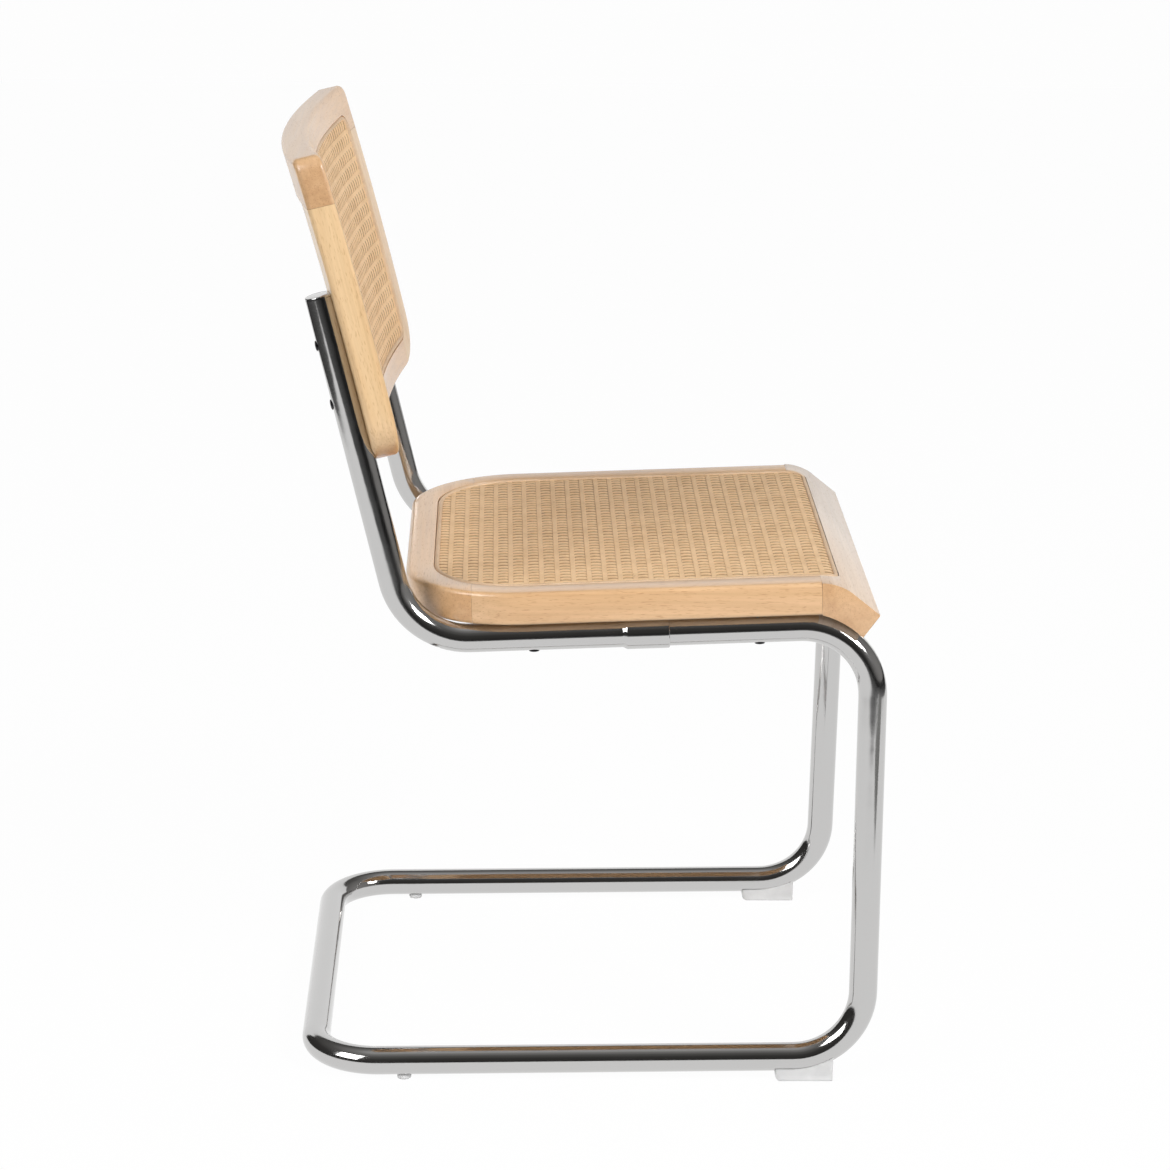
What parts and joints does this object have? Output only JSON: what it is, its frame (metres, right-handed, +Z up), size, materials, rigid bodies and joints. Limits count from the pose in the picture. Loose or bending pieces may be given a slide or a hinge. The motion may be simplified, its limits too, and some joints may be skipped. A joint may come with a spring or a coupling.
{
  "type": "dining chair",
  "caption": "Cantilever dining chair: a bent chromed steel tube frame carries a wooden seat and a bowed wooden back, each with a woven cane panel.",
  "frame": {"origin": "on the floor, under the middle of the chair's bounding box", "axes": "+Z up, the front of the chair faces -Y, +X is the sitter's left"},
  "size_m": [0.4598, 0.527, 0.818],
  "materials": {
    "chrome": "bright chrome plate",
    "wood": "pale beech, clear satin lacquer",
    "dowel_wood": "plain beech",
    "cane": "natural woven cane, matt",
    "reed": "natural reed, matt",
    "bolt_steel": "dark zinc plate",
    "insert_zinc": "zinc alloy",
    "glide_plastic": "pale translucent plastic"
  },
  "bodies": {
    "root": {"back_bottom_rail": "wood", "back_cane": "cane", "back_spline": "reed", "back_top_rail": "wood", "base_tube": "chrome", "left_bottom_lower_dowel": "dowel_wood", "left_bottom_upper_dowel": "dowel_wood", "left_end_cap": "chrome", "left_front_glide": "glide_plastic", "left_front_inner_dowel": "dowel_wood", "left_front_outer_dowel": "dowel_wood", "left_front_seat_bolt": "bolt_steel", "left_front_seat_insert": "insert_zinc", "left_lower_back_bolt": "bolt_steel", "left_lower_back_insert": "insert_zinc", "left_rear_dowel": "dowel_wood", "left_rear_glide": "glide_plastic", "left_rear_seat_bolt": "bolt_steel", "left_rear_seat_insert": "insert_zinc", "left_seat_rail": "wood", "left_stile": "wood", "left_top_inner_dowel": "dowel_wood", "left_top_outer_dowel": "dowel_wood", "left_upper_back_bolt": "bolt_steel", "left_upper_back_insert": "insert_zinc", "left_upper_tube": "chrome", "right_bottom_lower_dowel": "dowel_wood", "right_bottom_upper_dowel": "dowel_wood", "right_end_cap": "chrome", "right_front_glide": "glide_plastic", "right_front_inner_dowel": "dowel_wood", "right_front_outer_dowel": "dowel_wood", "right_front_seat_bolt": "bolt_steel", "right_front_seat_insert": "insert_zinc", "right_lower_back_bolt": "bolt_steel", "right_lower_back_insert": "insert_zinc", "right_rear_dowel": "dowel_wood", "right_rear_glide": "glide_plastic", "right_rear_seat_bolt": "bolt_steel", "right_rear_seat_insert": "insert_zinc", "right_seat_rail": "wood", "right_stile": "wood", "right_top_inner_dowel": "dowel_wood", "right_top_outer_dowel": "dowel_wood", "right_upper_back_bolt": "bolt_steel", "right_upper_back_insert": "insert_zinc", "right_upper_tube": "chrome", "seat_cane": "cane", "seat_front_rail": "wood", "seat_rear_rail": "wood", "seat_spline": "reed"}
  },
  "joints": []
}
